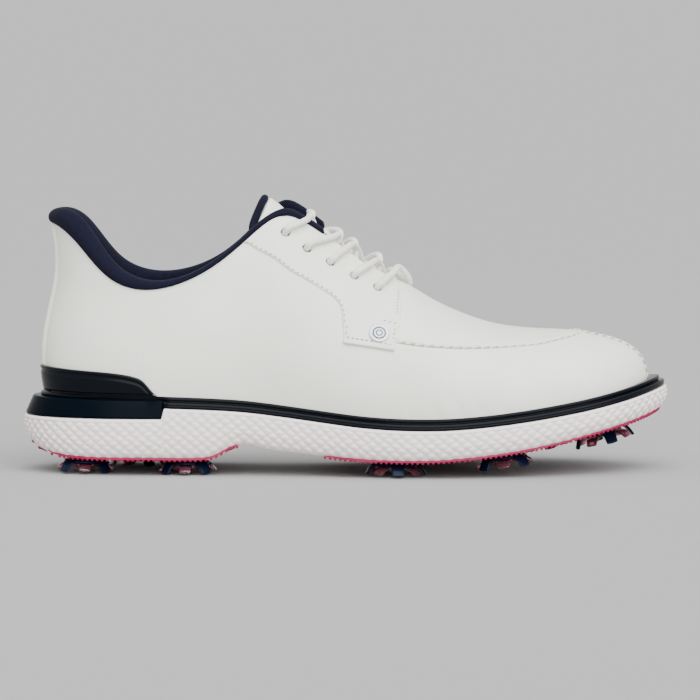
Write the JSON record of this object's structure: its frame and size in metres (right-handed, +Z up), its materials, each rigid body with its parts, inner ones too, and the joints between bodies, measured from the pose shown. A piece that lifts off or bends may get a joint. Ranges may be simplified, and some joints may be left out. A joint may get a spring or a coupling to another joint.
{
  "type": "golf shoe",
  "caption": "Low laced leather golf shoe for the right foot, with a padded knit collar, apron toe, snap-fastened eyestay, foam sole and soft twist-in cleats.",
  "frame": {"origin": "middle of the bounding box's underside, on the ground the leg tips of the cleats stand on", "axes": "+X from heel to toe, +Y to the inner (medial) side of the foot, +Z up"},
  "size_m": [0.302, 0.1052, 0.1294],
  "materials": {
    "board": "fibre board",
    "clear": "clear pink, glossy",
    "cleat": "navy, satin",
    "foam": "moulded foam, matt",
    "gloss": "glossy blue-black",
    "knit": "navy knit and textile",
    "lace": "white braided cord",
    "leather": "smooth tumbled white, satin",
    "metal": "satin metal",
    "plastic": "dark moulded",
    "rubber": "deep pink, matt",
    "steel": "spring steel"
  },
  "bodies": {
    "shoe": {"apron": "leather", "button_cap": "metal", "button_post": "metal", "collar_pad": "knit", "eyestay_lateral": "leather", "eyestay_medial": "leather", "heel_counter": "board", "heel_stabilizer": "gloss", "heel_strip": "leather", "heel_wedge": "gloss", "insole_board": "board", "laces": "lace", "lining_lateral": "knit", "lining_medial": "knit", "midsole": "foam", "outsole_forefoot": "rubber", "outsole_heel": "rubber", "receptacle_fore_lateral_front": "plastic", "receptacle_fore_lateral_rear": "plastic", "receptacle_fore_medial_front": "plastic", "receptacle_fore_medial_rear": "plastic", "receptacle_heel_lateral_front": "plastic", "receptacle_heel_lateral_rear": "plastic", "receptacle_heel_medial": "plastic", "receptacle_toe": "plastic", "shank": "steel", "side_panel_lateral": "leather", "side_panel_medial": "leather", "toe_puff": "board", "welt": "gloss"},
    "cleat_heel_lateral_rear": {"cleat_heel_lateral_rear": "cleat", "cleat_paws_heel_lateral_rear": "clear"},
    "cleat_heel_lateral_front": {"cleat_heel_lateral_front": "cleat", "cleat_paws_heel_lateral_front": "clear"},
    "cleat_heel_medial": {"cleat_heel_medial": "cleat", "cleat_paws_heel_medial": "clear"},
    "cleat_fore_lateral_rear": {"cleat_fore_lateral_rear": "cleat", "cleat_paws_fore_lateral_rear": "clear"},
    "cleat_fore_medial_rear": {"cleat_fore_medial_rear": "cleat", "cleat_paws_fore_medial_rear": "clear"},
    "cleat_fore_lateral_front": {"cleat_fore_lateral_front": "cleat", "cleat_paws_fore_lateral_front": "clear"},
    "cleat_fore_medial_front": {"cleat_fore_medial_front": "cleat", "cleat_paws_fore_medial_front": "clear"},
    "cleat_toe": {"cleat_toe": "cleat", "cleat_paws_toe": "clear"},
    "tongue": {"tongue_face": "leather", "tongue_lining": "knit", "tongue_binding": "knit"},
    "sockliner": {"footbed": "knit"}
  },
  "joints": [
    {"name": "cleat_twist_heel_lateral_rear", "type": "hinge", "parent": "shoe", "child": "cleat_heel_lateral_rear", "pos_m": [-0.12107, -0.0155, 0.00618], "axis": [0.034, 0, 0.9994], "range_deg": [0, 60]},
    {"name": "cleat_twist_heel_lateral_front", "type": "hinge", "parent": "shoe", "child": "cleat_heel_lateral_front", "pos_m": [-0.07347, -0.021, 0.00585], "axis": [-0.0126, 0, 0.9999], "range_deg": [0, 60]},
    {"name": "cleat_twist_heel_medial", "type": "hinge", "parent": "shoe", "child": "cleat_heel_medial", "pos_m": [-0.097, 0.0175, 0.00603], "axis": [-0.001, 0, 1], "range_deg": [0, 60]},
    {"name": "cleat_twist_fore_lateral_rear", "type": "hinge", "parent": "shoe", "child": "cleat_fore_lateral_rear", "pos_m": [0.02347, -0.0335, 0.00604], "axis": [0.0145, 0, 0.9999], "range_deg": [0, 60]},
    {"name": "cleat_twist_fore_medial_rear", "type": "hinge", "parent": "shoe", "child": "cleat_fore_medial_rear", "pos_m": [0.0431, 0.0275, 0.00632], "axis": [-0.0527, 0, 0.9986], "range_deg": [0, 60]},
    {"name": "cleat_twist_fore_lateral_front", "type": "hinge", "parent": "shoe", "child": "cleat_fore_lateral_front", "pos_m": [0.07327, -0.031, 0.00939], "axis": [-0.1362, 0, 0.9907], "range_deg": [0, 60]},
    {"name": "cleat_twist_fore_medial_front", "type": "hinge", "parent": "shoe", "child": "cleat_fore_medial_front", "pos_m": [0.09239, 0.0265, 0.01264], "axis": [-0.1963, 0, 0.9805], "range_deg": [0, 60]},
    {"name": "cleat_twist_toe", "type": "hinge", "parent": "shoe", "child": "cleat_toe", "pos_m": [0.12049, 0.0015, 0.01913], "axis": [-0.2458, 0, 0.9693], "range_deg": [0, 60]},
    {"name": "tongue_press", "type": "hinge", "parent": "shoe", "child": "tongue", "pos_m": [0.039, 0, 0.076], "axis": [0, -1, 0], "range_deg": [0, 7], "stiffness_Nm_per_rad": 0.1, "springref_deg": -14.32},
    {"name": "footbed_lift", "type": "hinge", "parent": "shoe", "child": "sockliner", "pos_m": [0.132, 0.004, 0.03906], "axis": [0, 1, 0], "range_deg": [0, 4]}
  ]
}
